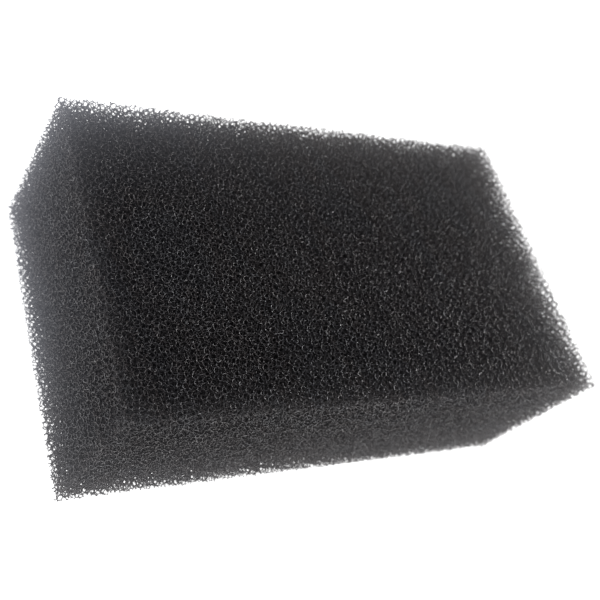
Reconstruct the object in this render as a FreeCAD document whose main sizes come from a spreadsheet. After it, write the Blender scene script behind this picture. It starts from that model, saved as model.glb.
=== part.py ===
"""Foam element of a small engine's air cleaner.

A real one is a single block, sawn or die cut from open-cell (reticulated)
polyurethane foam. It lies flat: intake air enters through the upper face,
crosses the thickness and leaves through the lower face, and the four narrow
edge faces press against the walls of the air cleaner.

Frame: origin at the middle of the lower face, +Z up through the thickness,
+X along the length, +Y along the width. Millimetres.
"""

import FreeCAD, Part
import Sketcher
import os

# Driving dimensions of the cut block.
DIMENSIONS = {
    "length": 115.0,
    "width": 67.0,
    "thickness": 39.0,
}

# Corner numbers in a sketch: each line's start and end, and the sketch origin.
START = 1
END = 2
SKETCH_ORIGIN = (-1, 1)

SUBPARTS = []


def make_sheet(doc):
    """Write the driving dimensions to a spreadsheet, one alias each."""
    sheet = doc.addObject("Spreadsheet::Sheet", "Dimensions")
    for row, (alias, value) in enumerate(DIMENSIONS.items(), start=1):
        sheet.set(f"A{row}", alias)
        sheet.set(f"B{row}", str(value))
        sheet.setAlias(f"B{row}", alias)
    doc.recompute()
    return sheet


def origin_plane(body, role):
    """The body's own origin plane with this role, such as XY_Plane."""
    for feature in body.Origin.OriginFeatures:
        if feature.Role == role:
            return feature
    raise ValueError(f"{body.Label} has no {role}")


def centred_rectangle(sketch, width_x, width_y):
    """Draw a rectangle centred on the sketch origin, sized by two sheet expressions."""
    corners = [(-1, -1), (1, -1), (1, 1), (-1, 1)]
    points = [FreeCAD.Vector(10.0 * x, 10.0 * y, 0) for x, y in corners]
    for index, point in enumerate(points):
        following = points[(index + 1) % 4]
        sketch.addGeometry(Part.LineSegment(point, following), False)
    for index in range(4):
        sketch.addConstraint(Sketcher.Constraint("Coincident", index, END, (index + 1) % 4, START))
    for index in (0, 2):
        sketch.addConstraint(Sketcher.Constraint("Horizontal", index))
    for index in (1, 3):
        sketch.addConstraint(Sketcher.Constraint("Vertical", index))
    sketch.addConstraint(Sketcher.Constraint("Symmetric", 0, START, 2, START, *SKETCH_ORIGIN))
    sizes = (("DistanceX", 0, "side_x", width_x), ("DistanceY", 1, "side_y", width_y))
    for kind, line, name, expression in sizes:
        number = sketch.addConstraint(Sketcher.Constraint(kind, line, START, line, END, 20.0))
        sketch.renameConstraint(number, name)
        sketch.setExpression(f"Constraints.{name}", expression)


def make_foam_element(doc):
    """The foam block: its cut outline, padded up through the thickness."""
    body = doc.addObject("PartDesign::Body", "FoamElement")
    body.Label = "foam_element"
    outline = body.newObject("Sketcher::SketchObject", "CutOutline")
    outline.AttachmentSupport = [(origin_plane(body, "XY_Plane"), "")]
    outline.MapMode = "FlatFace"
    centred_rectangle(outline, "Dimensions.length", "Dimensions.width")
    block = body.newObject("PartDesign::Pad", "FoamThickness")
    block.Profile = outline
    block.setExpression("Length", "Dimensions.thickness")
    body.Placement = FreeCAD.Placement()
    SUBPARTS.append(body)


def check(doc):
    """Stop unless every object recomputed, and the block has its stated size."""
    for item in doc.Objects:
        if "Invalid" in item.State or "Error" in item.State:
            raise RuntimeError(f"{item.Label} failed: {item.State}")
    for part in SUBPARTS:
        if part.Shape.isNull() or not part.Shape.isValid():
            raise RuntimeError(f"{part.Label} has no valid shape")
    expected = DIMENSIONS["length"] * DIMENSIONS["width"] * DIMENSIONS["thickness"]
    volume = sum(part.Shape.Volume for part in SUBPARTS)
    if abs(volume - expected) > 1e-6 * expected:
        raise RuntimeError(f"block volume is {volume}, not {expected}")


def export():
    """Write each sub-part to its own STEP file, named by its label."""
    os.makedirs("parts", exist_ok=True)
    for part in SUBPARTS:
        part.Shape.exportStep(f"parts/{part.Label}.step")


document = FreeCAD.newDocument("FoamAirFilter")
make_sheet(document)
make_foam_element(document)
document.recompute()
check(document)
export()
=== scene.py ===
"""Looks of a foam air filter element: a cut block of open-cell foam.

The foam is built the way it grows. Seeds stand for gas bubbles, the bubbles'
Voronoi cells meet along edges, and every edge inside the block becomes a
three-cornered strut. Struts that cross a cut face end there. Past the depth
that light reaches, a dark lumpy core stands for the rest of the network.
"""

import math

import bmesh
import bpy
import numpy as np
from mathutils import Matrix, Vector


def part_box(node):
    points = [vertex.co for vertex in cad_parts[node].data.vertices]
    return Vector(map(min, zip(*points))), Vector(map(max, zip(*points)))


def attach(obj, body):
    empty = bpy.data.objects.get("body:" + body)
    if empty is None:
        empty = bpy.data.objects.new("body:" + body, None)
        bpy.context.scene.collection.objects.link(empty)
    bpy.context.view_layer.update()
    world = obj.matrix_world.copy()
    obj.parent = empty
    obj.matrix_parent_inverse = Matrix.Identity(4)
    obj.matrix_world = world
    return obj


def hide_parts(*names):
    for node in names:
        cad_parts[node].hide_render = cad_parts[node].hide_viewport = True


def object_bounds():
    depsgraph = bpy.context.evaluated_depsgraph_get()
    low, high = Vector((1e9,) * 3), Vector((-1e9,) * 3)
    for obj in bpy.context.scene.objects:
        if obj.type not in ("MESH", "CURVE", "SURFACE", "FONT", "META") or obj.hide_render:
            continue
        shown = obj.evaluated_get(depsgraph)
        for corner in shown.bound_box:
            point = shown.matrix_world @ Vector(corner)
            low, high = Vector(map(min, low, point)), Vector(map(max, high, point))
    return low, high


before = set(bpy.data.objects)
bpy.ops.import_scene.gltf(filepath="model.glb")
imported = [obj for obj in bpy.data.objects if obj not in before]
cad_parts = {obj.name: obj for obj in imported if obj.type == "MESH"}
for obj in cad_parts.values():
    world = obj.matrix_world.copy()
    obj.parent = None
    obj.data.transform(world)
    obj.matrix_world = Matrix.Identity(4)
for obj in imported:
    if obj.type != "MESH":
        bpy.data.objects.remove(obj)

CAD_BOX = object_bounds()

NODE = "foam_element"
BODY = "root"
SEED = 7

# Foam. CELL is in metres: the side of a cube with the volume of one bubble. Lengths named
# CELLS are in cells, and waves named PER_CELL turn by that many radians in a cell.
CELL = 0.00118
CUBE_CELLS = 2.0 ** (1.0 / 3.0)   # side of the lattice cube, which holds two bubbles
LAYER_SHIFT = 0.5           # the second grid lies this many cubes along every axis of the first
LATTICE_TURN = {"X": 0.61, "Y": 0.93, "Z": 0.37}
LATTICE_SPARE_CELLS = 4.0   # lattice made beyond the cut faces, before it drifts
LATTICE_SPARE_CUBES = 1     # and one cube more, so that no corner is cut short
JITTER_CELLS = 0.42         # how far a bubble starts from its lattice place
RELAX_STEPS = 5
RELAX_REACH_CELLS = 1.12    # bubbles nearer than this push each other apart
RELAX_PUSH = 0.22
WARP_CELLS = 1.3            # slow drift of the lattice, which hides its rows
WARP_WAVES = 6
WARP_PER_CELL = 0.22
MARGIN_CELLS = 1.5          # bubbles kept on either side of the shell
CANDIDATE_CUBES = 3         # lattice steps searched for a bubble's neighbours
CANDIDATE_CELLS = 2.55      # farthest that a neighbour can start
NEIGHBOURS = 28             # nearest bubbles that can shape a bubble's cell

# Cell edges and nodes.
AT_NODE = 4                 # bubbles round a node, and struts that meet there
CORNERS = 3                 # of a strut, one toward each bubble round it
BATCH = 500                 # bubbles whose edges are found at once
LEAST_SPREAD = 0.01         # bubbles more nearly in line than this share no edge
CIRCLE_LIMIT = 1.1          # nor do bubbles whose circle has a greater radius squared
HALF_EDGE_LIMIT = 2.0       # a line of equally far points is followed this far both ways
HASH_FACTOR = np.uint64(0x9E3779B97F4A7C15)
HASH_SHIFT = np.uint64(29)
SOFTEN_SHARE = 0.35         # how far nodes move to even out strut lengths
SOFTEN_ROUNDS = 2

# Shell and core.
SHELL_CELLS = 2.9           # depth of real struts under the faces
SHELL_BELOW_CELLS = 2.0     # and above the face the block rests on
ANCHOR_CELLS = 1.2          # every kept node hangs together with nodes deeper than this
ANCHOR_ROUNDS = 14
CORE_ROUND_CELLS = 5.0      # the core's edges are rounded, so the block's edges let light through
CORE_CUTS = 60
LUMP_CELLS = 0.5            # lumps reach this far to either side of their middle
LUMP_WAVES = 7
LUMP_PER_CELL = 1.1

# Struts.
STRUT_CELLS = 0.097         # strut's axis to its corners
STRUT_SPREAD = 0.14         # how much strut thickness varies
THINNEST = 0.6
THICKEST = 1.6
TIP_SHARE = 0.94            # a cut end's thickness, as a share of its node's
CUT_GAP_CELLS = 0.05        # no node lies nearer than this to a cut face
RAGGED_CELLS = 0.22         # how unevenly the cut leaves strut ends
RAGGED_OUT = 0.35           # share of that by which an end can stand proud
SHORTEST_SHARE = 0.12       # least part of a cut strut that is left
LONGEST_END_CELLS = 0.9     # and the most
SHORTEST_STRUT_CELLS = 0.05   # a shorter strut is cut as if it were this long
TONE_WAVES = 8
TONE_PER_CELL = 0.35
TONE_SPECKLE = 0.15         # how much single struts differ in tone from their patch
MAX_NODES_PER_PIECE = 15000

# Least values to divide by.
LEAST_FAR = 1e-6
LEAST_STEP = 1e-9
LEAST_LENGTH = 1e-12


# ---------------------------------------------------------------- block and core

class Block:
    """The foam block in cells, centred on its own middle, and the dark core inside it."""

    def __init__(self):
        low, high = (np.array(corner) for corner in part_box(NODE))
        self.centre = (low + high) / 2
        self.half = (high - low) / 2 / CELL
        self.lowest = low[2]
        core_low = -self.half + np.array([SHELL_CELLS, SHELL_CELLS, SHELL_BELOW_CELLS])
        core_high = self.half - SHELL_CELLS
        self.core_centre = (core_low + core_high) / 2
        self.core_half = (core_high - core_low) / 2

    def place(self, points):
        """Cells to metres in the row frame, with nothing below the face the block rests on."""
        placed = points * CELL + self.centre
        placed[:, 2] = np.maximum(placed[:, 2], self.lowest)
        return placed

    def depth(self, points):
        """How far each point lies under the nearest cut face."""
        return (self.half - np.abs(points)).min(1)

    def above_core(self, points):
        """Distance out from the rounded core, negative inside it."""
        inner = self.core_half - CORE_ROUND_CELLS
        out = np.abs(points - self.core_centre) - inner
        beyond = np.sqrt((np.maximum(out, 0) ** 2).sum(1))
        return beyond + np.minimum(out.max(1), 0) - CORE_ROUND_CELLS

    def in_shell(self, points, margin):
        """True between the cut faces and the core, with this much more on both sides."""
        return (self.depth(points) > -margin) & (self.above_core(points) > -margin)


# ---------------------------------------------------------------- bubbles

def turned_axes():
    """A fixed skew orientation, so no lattice row lies along a cut face."""
    turn = Matrix.Identity(3)
    for axis, angle in LATTICE_TURN.items():
        turn = turn @ Matrix.Rotation(angle, 3, axis)
    return np.array(turn)


def slow_drift(points, rng):
    """A smooth wandering shift that differs from place to place."""
    shift = np.zeros_like(points)
    for _ in range(WARP_WAVES):
        wave = rng.normal(size=3) * WARP_PER_CELL
        phase = rng.uniform(0, 2 * math.pi, size=3)
        shift += np.sin((points @ wave)[:, None] + phase)
    return shift * WARP_CELLS / WARP_WAVES


def grid_of(steps):
    """Every whole-number address on a cube of these steps."""
    return np.stack(np.meshgrid(steps, steps, steps, indexing="ij"), -1).reshape(-1, 3)


def lattice_bubbles(block, rng):
    """Bubble places on two interleaved cubic grids, their grid addresses, and the grid's reach."""
    farthest = np.linalg.norm(block.half + LATTICE_SPARE_CELLS)
    reach = math.ceil(farthest / CUBE_CELLS) + LATTICE_SPARE_CUBES
    grid = grid_of(np.arange(-reach, reach + 1))
    layers = [np.column_stack([np.full(len(grid), layer), grid]) for layer in (0, 1)]
    address = np.concatenate(layers)
    place = (address[:, 1:] + LAYER_SHIFT * address[:, :1]) @ (turned_axes() * CUBE_CELLS).T
    near = (np.abs(place) < block.half + LATTICE_SPARE_CELLS).all(1)
    place = place[near]
    address = address[near]
    place = place + slow_drift(place, rng)
    near = block.in_shell(place, MARGIN_CELLS)
    return place[near], address[near], reach


def candidate_table(address, reach):
    """For each bubble, the numbers of all bubbles close to it on the lattice, or -1."""
    side = 2 * reach + 1
    lookup = np.full((2, side, side, side), -1, dtype=np.int32)

    def cell_of(some):
        """Where these addresses stand in the lookup table."""
        return some[:, 0], some[:, 1] + reach, some[:, 2] + reach, some[:, 3] + reach

    lookup[cell_of(address)] = np.arange(len(address))
    around = grid_of(np.arange(-CANDIDATE_CUBES, CANDIDATE_CUBES + 1))
    steps = []
    for change in (-1, 0, 1):
        apart = np.linalg.norm((around + LAYER_SHIFT * change) * CUBE_CELLS, axis=1)
        steps += [(change, *step) for step in around[(apart < CANDIDATE_CELLS) & (apart > 0)]]
    table = np.full((len(address), len(steps)), -1, dtype=np.int32)
    for column, step in enumerate(steps):
        other = address + step
        there = (other[:, 0] >= 0) & (other[:, 0] <= 1) & (np.abs(other[:, 1:]) <= reach).all(1)
        table[there, column] = lookup[cell_of(other[there])]
    # A step can lead off both grids or out of the foam, so rows have gaps: squeeze them out.
    order = np.argsort(table < 0, axis=1, kind="stable")
    most = int((table >= 0).sum(1).max())
    return np.take_along_axis(table, order[:, :most], axis=1)


def relaxed_bubbles(block, rng):
    """Bubble centres, shaken off their lattice and pushed apart, and their nearest others."""
    points, address, reach = lattice_bubbles(block, rng)
    points = points + rng.uniform(-1, 1, size=points.shape) * JITTER_CELLS
    table = candidate_table(address, reach)
    missing = table < 0
    table = np.where(missing, 0, table)
    for _ in range(RELAX_STEPS):
        apart = (points[:, None, :] - points[table]).astype(np.float32)
        far = np.sqrt(np.einsum("nkc,nkc->nk", apart, apart))
        push = np.clip(RELAX_REACH_CELLS - far, 0, None) / (far + LEAST_FAR)
        push[missing] = 0
        points = points + RELAX_PUSH * np.einsum("nkc,nk->nc", apart, push)
    apart = (points[:, None, :] - points[table]).astype(np.float32)
    far = np.einsum("nkc,nkc->nk", apart, apart)
    far[missing] = np.inf
    order = np.argpartition(far, NEIGHBOURS, axis=1)[:, :NEIGHBOURS]
    near = np.take_along_axis(table, order, axis=1)
    gone = ~np.isfinite(np.take_along_axis(far, order, axis=1))
    return points, near, gone


# ---------------------------------------------------------------- cell edges

def row_dots(first, second):
    """The dot product of each row with its partner."""
    return np.einsum("nc,nc->n", first, second)


def trios_of(rows, near, gone):
    """Each of these bubbles with every two later ones near it, in rising order."""
    left, right = np.triu_indices(NEIGHBOURS, 1)
    second = near[rows][:, left]
    third = near[rows][:, right]
    missing = gone[rows][:, left] | gone[rows][:, right]
    later = (second > rows[:, None]) & (third > rows[:, None])
    row, column = np.nonzero(later & ~missing)
    second, third = np.sort([second[row, column], third[row, column]], axis=0)
    return np.column_stack([rows[row], second, third])


def equal_lines(points, trio):
    """The line of points equally far from all three bubbles of a trio.

    Gives the trios that are close enough to share an edge, the place where each
    one's line crosses their plane, from the first bubble, and its direction.
    """
    second = points[trio[:, 1]] - points[trio[:, 0]]
    third = points[trio[:, 2]] - points[trio[:, 0]]
    axis = np.cross(second, third)
    spread = row_dots(axis, axis)
    toward = row_dots(second, second)[:, None] * third
    toward -= row_dots(third, third)[:, None] * second
    centre = np.cross(toward, axis) / (2 * np.maximum(spread, LEAST_SPREAD))[:, None]
    close = (spread > LEAST_SPREAD) & (row_dots(centre, centre) < CIRCLE_LIMIT)
    return trio[close], centre[close], axis[close] / np.sqrt(spread[close])[:, None]


def line_cuts(points, near, gone, trio, centre, axis):
    """How far down and up each line is left uncut, and the bubbles that cut it there."""
    others = near[trio[:, 0]]
    offset = (points[others] - points[trio[:, 0]][:, None, :]).astype(np.float32)
    slope = np.einsum("nkc,nc->nk", offset, axis.astype(np.float32))
    room = np.einsum("nkc,nkc->nk", offset, offset) / 2
    room -= np.einsum("nkc,nc->nk", offset, centre.astype(np.float32))
    # The trio's own bubbles cut nothing: their cut is put far beyond any other.
    own = (others == trio[:, 1:2]) | (others == trio[:, 2:3]) | gone[trio[:, 0]]
    slope[own] = LEAST_STEP
    room[own] = 1.0
    with np.errstate(divide="ignore"):
        limit = room / slope
    high = np.where(slope > 0, limit, np.inf)
    low = np.where(slope < 0, limit, -np.inf)
    every = np.arange(len(trio))
    top = high.argmin(1)
    bottom = low.argmax(1)
    high = np.minimum(high[every, top], HALF_EDGE_LIMIT)
    low = np.maximum(low[every, bottom], -HALF_EDGE_LIMIT)
    return low, high, others[every, bottom], others[every, top]


def cell_edges(points, near, gone):
    """Edges of the bubbles' Voronoi cells.

    Three bubbles share a line of points equally far from all three. Every other
    bubble near them cuts off one side of that line, and what is left, if
    anything, is an edge. The bubble that cuts it at each end is the fourth one
    round the node there. Gives the trios, both ends, and both fourth bubbles.
    The edge runs from low to high along the turn first to second to third bubble.
    """
    found = []
    for begin in range(0, len(points), BATCH):
        rows = np.arange(begin, min(begin + BATCH, len(points)))
        trio, centre, axis = equal_lines(points, trios_of(rows, near, gone))
        low, high, below, above = line_cuts(points, near, gone, trio, centre, axis)
        base = points[trio[:, 0]] + centre
        low_end = base + axis * low[:, None]
        high_end = base + axis * high[:, None]
        real = high > low
        found.append([part[real] for part in (trio, low_end, high_end, below, above)])
    return [np.concatenate(part) for part in zip(*found)]


def number_of(four):
    """One number for the four bubbles round a node, told in rising order."""
    number = np.zeros(len(four), dtype=np.uint64)
    for column in range(AT_NODE):
        number = number * HASH_FACTOR + four[:, column].astype(np.uint64)
        number ^= number >> HASH_SHIFT
    return number


class Network:
    """Nodes where four bubbles meet, and struts between them where three do."""

    def __init__(self, block, rng):
        self.bubbles, near, gone = relaxed_bubbles(block, rng)
        edges = cell_edges(self.bubbles, near, gone)
        self.trio, low_end, high_end, low_fourth, high_fourth = edges
        fourth = np.concatenate([low_fourth, high_fourth])
        fours = np.sort(np.column_stack([np.tile(self.trio, (2, 1)), fourth]), axis=1)
        _, first, inverse, count = np.unique(
            number_of(fours), return_index=True, return_inverse=True, return_counts=True)
        self.four = fours[first]
        self.place = np.concatenate([low_end, high_end])[first]
        self.whole = count == AT_NODE
        self.ends = inverse.reshape(2, -1).T

    def soften(self):
        """Move each node toward the middle of its neighbours, which evens out strut lengths."""
        size = len(self.place)
        for _ in range(SOFTEN_ROUNDS):
            total = np.zeros_like(self.place)
            for here, there in ((0, 1), (1, 0)):
                source = self.place[self.ends[:, there]]
                for axis in range(3):
                    total[:, axis] += np.bincount(self.ends[:, here], source[:, axis], minlength=size)
            moved = self.place + SOFTEN_SHARE * (total / AT_NODE - self.place)
            self.place = np.where(self.whole[:, None], moved, self.place)

    def hold(self, block):
        """Keep the nodes in the shell that hang together with the network below the cut faces."""
        inside = self.whole & block.in_shell(self.place, 0)
        inside &= block.depth(self.place) > CUT_GAP_CELLS
        held = inside & (block.depth(self.place) > ANCHOR_CELLS)
        ends = self.ends[inside[self.ends].all(1)]
        for _ in range(ANCHOR_ROUNDS):
            held[ends[held[ends[:, 0]], 1]] = True
            held[ends[held[ends[:, 1]], 0]] = True
        self.held = held


# ---------------------------------------------------------------- strut mesh

def unit(vectors):
    """The same directions, one long."""
    length = np.sqrt((vectors ** 2).sum(-1, keepdims=True))
    return vectors / np.maximum(length, LEAST_LENGTH)


def cut_share(block, inner, outer, rng):
    """How much of each strut is left, from its inner node, where a cut face crosses it."""
    step = outer - inner
    step = np.where(np.abs(step) < LEAST_STEP, LEAST_STEP, step)
    length = np.maximum(np.sqrt((step ** 2).sum(1)), SHORTEST_STRUT_CELLS)
    share = ((np.sign(step) * block.half - inner) / step).min(1)
    share += rng.uniform(-1.0, RAGGED_OUT, len(inner)) * RAGGED_CELLS / length
    return np.clip(share, SHORTEST_SHARE, np.minimum(1.0, LONGEST_END_CELLS / length))


def split_evenly(place, limit):
    """Groups made by halving the nodes along their longest side until each is small enough."""
    groups = [np.arange(len(place))]
    while max(len(group) for group in groups) > limit:
        halves = []
        for group in groups:
            axis = int(np.ptp(place[group], axis=0).argmax())
            order = group[np.argsort(place[group, axis], kind="stable")]
            halves += [order[: len(order) // 2], order[len(order) // 2:]]
        groups = halves
    return groups


class StrutMesh:
    """Points, triangles and triangle tones of the chosen nodes and the struts they hold.

    A node is four points, one toward each bubble round it. A strut joins the
    three points that its two nodes have in common, so the whole network is one
    closed skin. A strut that leaves the chosen nodes ends in its own cap.
    """

    def __init__(self, net, chosen, thick, share, tone):
        self.net = net
        self.thick = thick
        self.share = share
        self.tone = tone
        self.local = np.full(len(net.place), -1)
        self.local[chosen] = np.arange(len(chosen))
        outward = unit(net.bubbles[net.four[chosen]] - net.place[chosen][:, None, :])
        node_points = net.place[chosen][:, None, :] + outward * thick[chosen][:, None, None]
        self.points = [node_points.reshape(-1, 3)]
        self.triangles = []
        self.tones = []
        in_here = self.local[net.ends] >= 0
        self.whole_struts(np.nonzero(in_here.all(1))[0])
        for here, there in ((0, 1), (1, 0)):
            self.cut_struts(np.nonzero(in_here[:, here] & ~in_here[:, there])[0], here, there)

    def corners(self, node, row):
        """The node's points on a strut, in the order of the strut's bubbles."""
        four = self.net.four[node]
        trio = self.net.trio[row]
        which = [(four == bubble[:, None]).argmax(1) for bubble in trio.T]
        return self.local[node][:, None] * AT_NODE + np.stack(which, axis=1)

    def skin(self, start, finish, forward, tone):
        """The sides between two rings of corners."""
        for corner in range(CORNERS):
            following = (corner + 1) % CORNERS
            left, right = (corner, following) if forward else (following, corner)
            self.triangles.append(
                np.column_stack([start[:, left], start[:, right], finish[:, right]]))
            self.triangles.append(
                np.column_stack([start[:, left], finish[:, right], finish[:, left]]))
            self.tones.extend([tone, tone])

    def whole_struts(self, row):
        """Struts with both nodes among the chosen."""
        start, finish = self.net.ends[row].T
        self.skin(self.corners(start, row), self.corners(finish, row), True, self.tone[start])

    def cut_struts(self, row, here, there):
        """Struts that leave the chosen nodes, each up to its share, with a cap on the end."""
        net = self.net
        mine = net.ends[row, here]
        other = net.ends[row, there]
        step = (net.place[other] - net.place[mine]) * self.share[row, here][:, None]
        tip = net.place[mine] + step
        along = unit(step)[:, None, :]
        toward = net.bubbles[net.trio[row]] - tip[:, None, :]
        toward = unit(toward - (toward * along).sum(-1, keepdims=True) * along)
        ring = tip[:, None, :] + toward * self.thick[mine][:, None, None] * TIP_SHARE
        before = sum(len(part) for part in self.points)
        self.points.append(ring.reshape(-1, 3))
        cap = before + np.arange(CORNERS * len(row)).reshape(-1, CORNERS)
        forward = here == 0
        self.skin(self.corners(mine, row), cap, forward, self.tone[mine])
        self.triangles.append(cap if forward else cap[:, ::-1])
        self.tones.append(self.tone[mine])

    def joined(self):
        """All points, all triangles and their tones, as one array each."""
        return [np.concatenate(part) for part in (self.points, self.triangles, self.tones)]


def make_object(name, points, triangles, materials, slots=None, smooth=True):
    """A Blender mesh object from point and triangle arrays."""
    mesh = bpy.data.meshes.new(name)
    mesh.vertices.add(len(points))
    mesh.vertices.foreach_set("co", np.ascontiguousarray(points, dtype=np.float32).ravel())
    mesh.loops.add(triangles.size)
    mesh.loops.foreach_set("vertex_index", np.ascontiguousarray(triangles, dtype=np.int32).ravel())
    mesh.polygons.add(len(triangles))
    mesh.polygons.foreach_set("loop_start", np.arange(0, triangles.size, 3, dtype=np.int32))
    mesh.polygons.foreach_set("use_smooth", np.full(len(triangles), smooth))
    for material in materials:
        mesh.materials.append(material)
    if slots is not None:
        mesh.polygons.foreach_set("material_index", slots.astype(np.int32))
    mesh.update(calc_edges=True)
    obj = bpy.data.objects.new(name, mesh)
    bpy.context.collection.objects.link(obj)
    return obj


def belongs(piece):
    """Make a piece part of the foam element."""
    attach(piece, BODY)
    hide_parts(NODE)


def tone_patches(points, count, rng):
    """A tone number for each point, in soft-edged patches a few cells wide."""
    level = np.zeros(len(points))
    for _ in range(TONE_WAVES):
        wave = rng.normal(size=3) * TONE_PER_CELL
        level += np.sin(points @ wave + rng.uniform(0, 2 * math.pi))
    level += rng.normal(size=len(points)) * TONE_SPECKLE
    rank = np.argsort(np.argsort(level))
    return rank * count // len(points)


def strut_shares(net, block, rng):
    """How much of each strut belongs to either end: half, or what a cut face leaves."""
    share = np.full(net.ends.shape, 0.5)
    for here, there in ((0, 1), (1, 0)):
        cut = net.held[net.ends[:, here]] & ~net.held[net.ends[:, there]]
        inner = net.place[net.ends[cut, here]]
        outer = net.place[net.ends[cut, there]]
        share[cut, here] = cut_share(block, inner, outer, rng)
    return share


def foam_struts(block, materials):
    """Grow the strut shell, as a few meshes of even size that meet in the middle of struts."""
    rng = np.random.default_rng(SEED)
    net = Network(block, rng)
    net.soften()
    net.hold(block)
    thick = rng.normal(1.0, STRUT_SPREAD, len(net.place)).clip(THINNEST, THICKEST) * STRUT_CELLS
    share = strut_shares(net, block, rng)
    tone = tone_patches(net.place, len(materials), rng)
    kept = np.nonzero(net.held)[0]
    for number, group in enumerate(split_evenly(net.place[kept], MAX_NODES_PER_PIECE), start=1):
        points, triangles, tones = StrutMesh(net, kept[group], thick, share, tone).joined()
        name = f"foam_struts_{number:02d}"
        belongs(make_object(name, block.place(points), triangles, materials, tones))


# ---------------------------------------------------------------- dark core

def lumps(points, rng):
    """A bumpy level at each point, from -1 to 1."""
    level = np.zeros(len(points))
    for _ in range(LUMP_WAVES):
        wave = unit(rng.normal(size=3)) * LUMP_PER_CELL
        level += np.sin(points @ wave + rng.uniform(0, 2 * math.pi))
    return level / LUMP_WAVES


def foam_core(block, material):
    """The network's unlit depth: a rounded, lumpy block inside the strut shell."""
    rng = np.random.default_rng(SEED + 1)
    build = bmesh.new()
    bmesh.ops.create_cube(build, size=2.0)
    bmesh.ops.subdivide_edges(build, edges=build.edges[:], cuts=CORE_CUTS, use_grid_fill=True)
    inner = block.core_half - CORE_ROUND_CELLS
    reach = np.array([vertex.co for vertex in build.verts]) * block.core_half
    corner = np.clip(reach, -inner, inner)
    size = CORE_ROUND_CELLS - LUMP_CELLS * (1 + lumps(reach, rng))
    points = corner + unit(reach - corner) * size[:, None]
    for vertex, point in zip(build.verts, block.place(points + block.core_centre)):
        vertex.co = point
    bmesh.ops.triangulate(build, faces=build.faces[:])
    mesh = bpy.data.meshes.new("foam_core")
    build.to_mesh(mesh)
    build.free()
    mesh.shade_smooth()
    mesh.materials.append(material)
    core = bpy.data.objects.new("foam_core", mesh)
    bpy.context.collection.objects.link(core)
    belongs(core)


# ---------------------------------------------------------------- materials

# Base colours are linear.
STRUT_TONES = {
    "charcoal": (0.0300, 0.0262, 0.0276),
    "umber": (0.0320, 0.0266, 0.0272),
    "slate": (0.0285, 0.0264, 0.0290),
}
STRUT_ROUGHNESS = 0.32
SHINE_CELLS = 1.1           # size of the patches over which shine wanders
SHINE_LOW = 0.25
SHINE_HIGH = 0.75
TINT_CELLS = 3.0            # and the colour of highlights
TINT_WARM = (1.0, 0.96, 0.94, 1)
TINT_COOL = (0.95, 0.96, 1.0, 1)
NOISE_DETAIL = 1
NOISE_LOW = 0.32            # the noise mostly stays between these two
NOISE_HIGH = 0.68
# Painted shade: the unlit depth of the foam is coloured near-black, with slightly paler painted rims
# of buried cells.
PAINTED_SHADE_RIM = (0.009, 0.0085, 0.009, 1)
PAINTED_SHADE_HOLE = (0.002, 0.0019, 0.002, 1)
PAINTED_SHADE_RIM_WIDTH = 0.22      # in cells
DEPTH_ROUGHNESS = 0.9
DEPTH_SHINE = 0.1


def principled(name):
    """A new material and its Principled node."""
    material = bpy.data.materials.new(name)
    material.use_nodes = True
    return material, material.node_tree.nodes["Principled BSDF"]


def patches(material, cells, low, high):
    """A value that wanders from low to high over patches this many cells wide."""
    nodes = material.node_tree.nodes
    links = material.node_tree.links
    place = nodes.new("ShaderNodeTexCoord")
    noise = nodes.new("ShaderNodeTexNoise")
    noise.inputs["Scale"].default_value = 1 / (cells * CELL)
    noise.inputs["Detail"].default_value = NOISE_DETAIL
    spread = nodes.new("ShaderNodeMapRange")
    spread.inputs["From Min"].default_value = NOISE_LOW
    spread.inputs["From Max"].default_value = NOISE_HIGH
    spread.inputs["To Min"].default_value = low
    spread.inputs["To Max"].default_value = high
    links.new(place.outputs["Object"], noise.inputs["Vector"])
    links.new(noise.outputs["Fac"], spread.inputs["Value"])
    return spread.outputs["Result"]


def strut_materials():
    """Polyurethane skin in a few close tones, its shine stronger here, fainter there."""
    materials = []
    for tone, colour in STRUT_TONES.items():
        material, shader = principled(f"foam_{tone}")
        links = material.node_tree.links
        shader.inputs["Base Color"].default_value = (*colour, 1)
        shader.inputs["Roughness"].default_value = STRUT_ROUGHNESS
        shine = patches(material, SHINE_CELLS, SHINE_LOW, SHINE_HIGH)
        links.new(shine, shader.inputs["Specular IOR Level"])
        tint = material.node_tree.nodes.new("ShaderNodeMix")
        tint.data_type = "RGBA"
        tint.inputs["A"].default_value = TINT_WARM
        tint.inputs["B"].default_value = TINT_COOL
        links.new(patches(material, TINT_CELLS, 0, 1), tint.inputs["Factor"])
        links.new(tint.outputs["Result"], shader.inputs["Specular Tint"])
        materials.append(material)
    return materials


def core_material():
    """Painted shade for the unlit deep foam: almost black, with slightly paler painted rims of buried
    cells.
    """
    material, shader = principled("foam_painted_shade")
    nodes = material.node_tree.nodes
    links = material.node_tree.links
    place = nodes.new("ShaderNodeTexCoord")
    cells = nodes.new("ShaderNodeTexVoronoi")
    cells.feature = "DISTANCE_TO_EDGE"
    cells.inputs["Scale"].default_value = 1 / CELL
    rims = nodes.new("ShaderNodeValToRGB")
    rims.color_ramp.elements[0].color = PAINTED_SHADE_RIM
    rims.color_ramp.elements[1].color = PAINTED_SHADE_HOLE
    rims.color_ramp.elements[1].position = PAINTED_SHADE_RIM_WIDTH
    links.new(place.outputs["Object"], cells.inputs["Vector"])
    links.new(cells.outputs["Distance"], rims.inputs["Fac"])
    links.new(rims.outputs["Color"], shader.inputs["Base Color"])
    shader.inputs["Roughness"].default_value = DEPTH_ROUGHNESS
    shader.inputs["Specular IOR Level"].default_value = DEPTH_SHINE
    return material


# ---------------------------------------------------------------- stage

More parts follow.
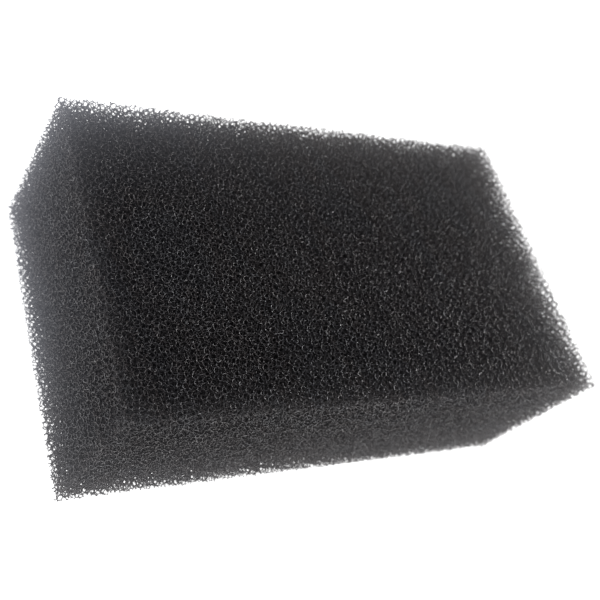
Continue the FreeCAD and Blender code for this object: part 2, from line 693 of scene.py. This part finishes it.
# The camera's place and directions are in the row frame; widths are those of the image.
CAMERA_FORWARD = Vector((0.5128, 0.4392, -0.7376))
CAMERA_RIGHT = Vector((0.8584, -0.2492, 0.4484))
CAMERA_FROM_CORNER = Vector((-0.4753, -0.3716, 1.0447))   # in block lengths
FOCAL_PER_WIDTH = 1.438     # focal length in widths
SENSOR_MM = 36.0
FOCUS_LENGTHS = 1.33        # focus distance in block lengths
LENS_OPENING = 0.0019       # in metres
LENS_SHIFT = (0.1039, -0.0500)   # in widths
NEAREST_SEEN = 0.005        # in metres
MM = 0.001

# Places and sizes of the floor and the lamps are in metres.
FLOOR_HALF = 2.0
FLOOR_GLOW = 1.0
FLOOR_COLOUR = (0.9, 0.9, 0.9, 1)
FLOOR_ROUGHNESS = 0.9
WHITE = (1, 1, 1, 1)
WHITE_SEEN = 1.25           # the floor's brightness straight to the camera
ROOM_WALL = (0.51, 0.52, 0.55)
ROOM_CEILING = (0.2, 0.2, 0.2)
WALL_TOP = 0.45             # sine of the angle above the floor where the ceiling takes over
LAMPS_AIM = Vector((0, 0, 0.02))
KEY_PLACE = (0.34, -0.08, 0.26)
KEY_SIZE = 0.3
KEY_WATTS = 1.46
RIM_PLACE = (0.14, -0.02, 0.072)
RIM_SIZE = 0.05
RIM_WATTS = 0.09
WINDOW_PLACE = (-0.20, 0.14, 0.25)
WINDOW_LAMP_SIZE = 0.2
WINDOW_WATTS = 0.44
WINDOW_COLOUR = (0.92, 0.96, 1.0)


def set_camera():
    """A close camera above the block's near left corner, rolled so that its right side is higher."""
    low, high = (Vector(corner) for corner in CAD_BOX)
    length = high.x - low.x
    corner = Vector((low.x, low.y, high.z))
    forward = CAMERA_FORWARD.normalized()
    right = (CAMERA_RIGHT - forward * CAMERA_RIGHT.dot(forward)).normalized()
    up = right.cross(forward)
    camera = bpy.data.objects.new("camera", bpy.data.cameras.new("camera"))
    bpy.context.collection.objects.link(camera)
    axes = Matrix((right, up, -forward)).transposed().to_4x4()
    camera.matrix_world = Matrix.Translation(corner + CAMERA_FROM_CORNER * length) @ axes
    lens = camera.data
    lens.sensor_width = SENSOR_MM
    lens.lens = SENSOR_MM * FOCAL_PER_WIDTH
    lens.shift_x, lens.shift_y = LENS_SHIFT
    lens.clip_start = NEAREST_SEEN
    lens.dof.use_dof = True
    lens.dof.focus_distance = FOCUS_LENGTHS * length
    lens.dof.aperture_fstop = lens.lens * MM / LENS_OPENING
    bpy.context.scene.camera = camera


def area_lamp(name, place, size, energy, colour):
    """A square soft lamp that faces the block and isn't seen itself."""
    lamp = bpy.data.objects.new(name, bpy.data.lights.new(name, "AREA"))
    bpy.context.collection.objects.link(lamp)
    lamp.data.size = size
    lamp.data.energy = energy
    lamp.data.color = colour
    lamp.visible_camera = False
    lamp.location = place
    lamp.rotation_euler = (LAMPS_AIM - lamp.location).to_track_quat("-Z", "Y").to_euler()


def studio_world():
    """A room with bright walls and a dark ceiling, which the camera itself sees as plain white."""
    world = bpy.data.worlds.new("studio")
    bpy.context.scene.world = world
    world.use_nodes = True
    nodes = world.node_tree.nodes
    links = world.node_tree.links
    direction = nodes.new("ShaderNodeTexCoord")
    split = nodes.new("ShaderNodeSeparateXYZ")
    height = nodes.new("ShaderNodeMapRange")
    height.inputs["From Max"].default_value = WALL_TOP
    height.interpolation_type = "SMOOTHSTEP"
    room = nodes.new("ShaderNodeMix")
    room.data_type = "RGBA"
    room.inputs["A"].default_value = (*ROOM_WALL, 1)
    room.inputs["B"].default_value = (*ROOM_CEILING, 1)
    seen = nodes.new("ShaderNodeMix")
    seen.data_type = "RGBA"
    seen.inputs["B"].default_value = WHITE
    path = nodes.new("ShaderNodeLightPath")
    links.new(direction.outputs["Generated"], split.inputs["Vector"])
    links.new(split.outputs["Z"], height.inputs["Value"])
    links.new(height.outputs["Result"], room.inputs["Factor"])
    links.new(room.outputs["Result"], seen.inputs["A"])
    links.new(path.outputs["Is Camera Ray"], seen.inputs["Factor"])
    links.new(seen.outputs["Result"], nodes["Background"].inputs["Color"])


def floor_material():
    """A plain white floor, which lights the block from below and is seen as even white."""
    material, shader = principled("floor")
    shader.inputs["Base Color"].default_value = FLOOR_COLOUR
    shader.inputs["Roughness"].default_value = FLOOR_ROUGHNESS
    shader.inputs["Emission Color"].default_value = WHITE
    shader.inputs["Emission Strength"].default_value = FLOOR_GLOW
    nodes = material.node_tree.nodes
    links = material.node_tree.links
    white = nodes.new("ShaderNodeEmission")
    white.inputs["Strength"].default_value = WHITE_SEEN
    path = nodes.new("ShaderNodeLightPath")
    both = nodes.new("ShaderNodeMixShader")
    links.new(path.outputs["Is Camera Ray"], both.inputs["Fac"])
    links.new(shader.outputs["BSDF"], both.inputs[1])
    links.new(white.outputs["Emission"], both.inputs[2])
    links.new(both.outputs["Shader"], nodes["Material Output"].inputs["Surface"])
    return material


def set_stage():
    """A plain pale floor and soft studio light."""
    corners = np.array([(-1, -1, 0), (1, -1, 0), (1, 1, 0), (-1, 1, 0)]) * FLOOR_HALF
    halves = np.array([(0, 1, 2), (0, 2, 3)])
    make_object("floor", corners, halves, [floor_material()], smooth=False)
    bpy.context.scene.view_settings.view_transform = "Standard"
    studio_world()
    area_lamp("key", KEY_PLACE, KEY_SIZE, KEY_WATTS, WHITE[:3])
    area_lamp("rim", RIM_PLACE, RIM_SIZE, RIM_WATTS, WHITE[:3])
    area_lamp("window", WINDOW_PLACE, WINDOW_LAMP_SIZE, WINDOW_WATTS, WINDOW_COLOUR)


IMAGE_SIDE = 600            # in pixels; lengths below are in image widths
DISPLAY_GAMMA = 2.2
PIXEL_FILTER = 1.5          # in pixels
CRISPNESS = 0.03
CRISP_REACH = 0.02          # width over which brightness decides how crisp detail is
CRISP_BELOW = 0.25          # as crisp as can be where darker than this
SOFT_ABOVE = 0.6            # and not at all where brighter than this
VEIL_WIDE = 0.20            # how far stray light spreads
VEIL_NEAR = 0.07
VEIL_NEAR_SHARE = 0.45
VEIL_STRENGTH = 0.085
VEIL_PLAIN = (1.0, 0.97, 0.99, 1)
VEIL_WINDOW = (2.52, 2.62, 2.96, 1)       # stronger and cooler toward the window
WINDOW_SIDE_CENTRE = (0.03, 0.76)         # the side of the image with the stronger veil
WINDOW_SIDE_SIZE = (0.5, 0.9)
WINDOW_SIDE_FADE = 0.36


class PictureSteps:
    """The compositor's nodes, added one after another."""

    def __init__(self):
        scene = bpy.context.scene
        scene.use_nodes = True
        self.tree = scene.node_tree
        self.tree.nodes.clear()

    def add(self, kind):
        """A new node."""
        return self.tree.nodes.new(kind)

    def link(self, source, target):
        """Carry one node's output to another's input."""
        self.tree.links.new(source, target)

    def gamma(self, image, power):
        """The image raised to a power."""
        node = self.add("CompositorNodeGamma")
        node.inputs["Gamma"].default_value = power
        self.link(image, node.inputs["Image"])
        return node.outputs["Image"]

    def blurred(self, image, width):
        """The image softened over this share of its width."""
        node = self.add("CompositorNodeBlur")
        node.filter_type = "GAUSS"
        node.inputs["Size"].default_value = (width * IMAGE_SIDE, width * IMAGE_SIDE)
        self.link(image, node.inputs["Image"])
        return node.outputs["Image"]

    def mixed(self, first, second, factor, blend_type="MIX"):
        """Two images laid over each other."""
        node = self.add("CompositorNodeMixRGB")
        node.blend_type = blend_type
        node.inputs["Fac"].default_value = factor
        self.link(first, node.inputs[1])
        self.link(second, node.inputs[2])
        return node.outputs["Image"]

    def clipped(self, image):
        """The image with nothing brighter than white."""
        node = self.add("CompositorNodeMixRGB")
        node.use_clamp = True
        node.inputs["Fac"].default_value = 0
        self.link(image, node.inputs[1])
        return node.outputs["Image"]

    def crisper(self, image):
        """Detail sharpened where the picture is dark."""
        dark = self.add("CompositorNodeMapRange")
        dark.use_clamp = True
        dark.inputs["From Min"].default_value = CRISP_BELOW
        dark.inputs["From Max"].default_value = SOFT_ABOVE
        dark.inputs["To Min"].default_value = CRISPNESS
        dark.inputs["To Max"].default_value = 0
        self.link(self.blurred(image, CRISP_REACH), dark.inputs["Value"])
        node = self.add("CompositorNodeFilter")
        node.filter_type = "SHARPEN"
        self.link(dark.outputs["Value"], node.inputs["Fac"])
        self.link(image, node.inputs["Image"])
        return node.outputs["Image"]

    def veil_colour(self):
        """The stray light's colour, which changes smoothly toward the window side."""
        window = self.add("CompositorNodeBoxMask")
        window.inputs["Position"].default_value = WINDOW_SIDE_CENTRE
        window.inputs["Size"].default_value = WINDOW_SIDE_SIZE
        tint = self.add("CompositorNodeMixRGB")
        tint.inputs[1].default_value = VEIL_PLAIN
        tint.inputs[2].default_value = VEIL_WINDOW
        self.link(self.blurred(window.outputs["Mask"], WINDOW_SIDE_FADE), tint.inputs["Fac"])
        return tint.outputs["Image"]


def camera_picture():
    """A small camera's own picture: slightly crisp, veiled by stray light from the white room."""
    bpy.context.scene.cycles.filter_width = PIXEL_FILTER
    steps = PictureSteps()
    seen = steps.add("CompositorNodeRLayers").outputs["Image"]
    bright = steps.gamma(steps.clipped(seen), 1 / DISPLAY_GAMMA)
    picture = steps.gamma(steps.crisper(bright), DISPLAY_GAMMA)
    wide = steps.blurred(seen, VEIL_WIDE)
    near = steps.blurred(seen, VEIL_NEAR)
    spread = steps.mixed(wide, near, VEIL_NEAR_SHARE)
    stray = steps.mixed(spread, steps.veil_colour(), 1, "MULTIPLY")
    veiled = steps.mixed(picture, stray, VEIL_STRENGTH, "ADD")
    steps.link(veiled, steps.add("CompositorNodeComposite").inputs["Image"])


foam = Block()
foam_struts(foam, strut_materials())
foam_core(foam, core_material())
set_stage()
set_camera()
camera_picture()
